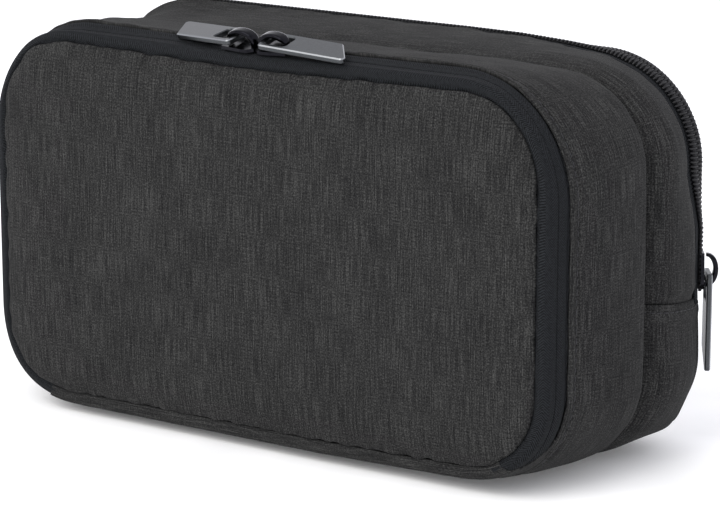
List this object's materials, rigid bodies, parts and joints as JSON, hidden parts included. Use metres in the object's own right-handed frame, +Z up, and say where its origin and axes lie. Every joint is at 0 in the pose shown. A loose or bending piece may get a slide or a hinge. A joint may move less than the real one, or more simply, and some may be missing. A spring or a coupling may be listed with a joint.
{
  "type": "cable organizer pouch",
  "caption": "Padded two-compartment zipped fabric pouch with a fold-down front lid, a folding back flap, sliding zip pulls and elastic and mesh organizers inside.",
  "frame": {"origin": "middle of the flat base of the front compartment, on the surface the pouch stands on", "axes": "+X across the pouch to the right seen from the front, +Y from the front to the back, +Z up"},
  "size_m": [0.239, 0.0921, 0.1357],
  "materials": {
    "melange_fabric": "dark charcoal melange plain weave with slub streaks",
    "lining_fabric": "smooth grey ripstop lining",
    "zip_tape": "blue-black woven zip tape",
    "coil_nylon": "black nylon coil",
    "elastic_webbing": "black ribbed elastic and binding tape",
    "net_mesh": "black polyester net",
    "foam": "closed-cell foam sheet",
    "black_nickel": "black nickel plated zinc",
    "gunmetal": "satin gunmetal plated zinc with bevelled edges"
  },
  "bodies": {
    "pouch": {"front_gusset": "melange_fabric", "front_gusset_lining": "lining_fabric", "hinge_strip": "melange_fabric", "front_tape": "zip_tape", "front_coil": "coil_nylon", "divider_panel": "lining_fabric", "organizer_panel": "lining_fabric", "elastic_band_upper": "elastic_webbing", "elastic_band_lower": "elastic_webbing", "front_seam_binding": "elastic_webbing", "rear_seam_binding": "elastic_webbing", "rear_gusset_upper": "melange_fabric", "rear_gusset_lower": "melange_fabric", "rear_gusset_lining": "lining_fabric", "rear_tape": "zip_tape", "rear_coil": "coil_nylon", "rear_tape_lower": "zip_tape", "rear_coil_lower": "coil_nylon", "rear_slip_pocket": "lining_fabric", "back_panel": "melange_fabric", "back_foam": "foam", "back_lining": "lining_fabric"},
    "lid": {"lid_panel": "melange_fabric", "lid_foam": "foam", "lid_lining": "lining_fabric", "lid_tape": "zip_tape", "lid_coil": "coil_nylon", "lid_mesh_pocket": "net_mesh", "lid_pocket_hem": "elastic_webbing"},
    "flap": {"flap_panel": "melange_fabric", "flap_foam": "foam", "flap_lining": "lining_fabric", "flap_tape": "zip_tape", "flap_coil": "coil_nylon"},
    "left_slider": {"front_slider_left": "black_nickel", "front_hook_left": "black_nickel"},
    "left_puller": {"front_puller_left": "gunmetal"},
    "right_slider": {"front_slider_right": "black_nickel", "front_hook_right": "black_nickel"},
    "right_puller": {"front_puller_right": "gunmetal"},
    "rear_slider": {"rear_slider": "black_nickel", "rear_hook": "black_nickel"},
    "rear_puller": {"rear_puller": "gunmetal"}
  },
  "joints": [
    {"name": "lid_hinge", "type": "hinge", "parent": "pouch", "child": "lid", "pos_m": [0, -0.0411, 0.0087], "axis": [1, 0, 0], "range_deg": [0, 92]},
    {"name": "flap_fold", "type": "hinge", "parent": "pouch", "child": "flap", "pos_m": [0, 0.0482, 0.079], "axis": [-1, 0, 0], "range_deg": [0, 80]},
    {"name": "left_slide", "type": "slide", "parent": "pouch", "child": "left_slider", "axis": [-1, 0, 0], "range_m": [0, 0.061]},
    {"name": "right_slide", "type": "slide", "parent": "pouch", "child": "right_slider", "axis": [1, 0, 0], "range_m": [0, 0.0585]},
    {"name": "rear_slide", "type": "slide", "parent": "pouch", "child": "rear_slider", "axis": [0, 0, 1], "range_m": [0, 0.012]},
    {"name": "left_pull", "type": "hinge", "parent": "left_slider", "child": "left_puller", "pos_m": [-0.0063, -0.03803, 0.13233], "axis": [0.2419, 0.9415, 0.2347], "range_deg": [0, 100]},
    {"name": "right_pull", "type": "hinge", "parent": "right_slider", "child": "right_puller", "pos_m": [0.0055, -0.03803, 0.13233], "axis": [0, -0.9703, -0.2419], "range_deg": [0, 100]},
    {"name": "rear_pull", "type": "hinge", "parent": "rear_slider", "child": "rear_puller", "pos_m": [0.11767, 0.04222, 0.0572], "axis": [0.5592, -0.829, 0], "range_deg": [0, 120]}
  ]
}
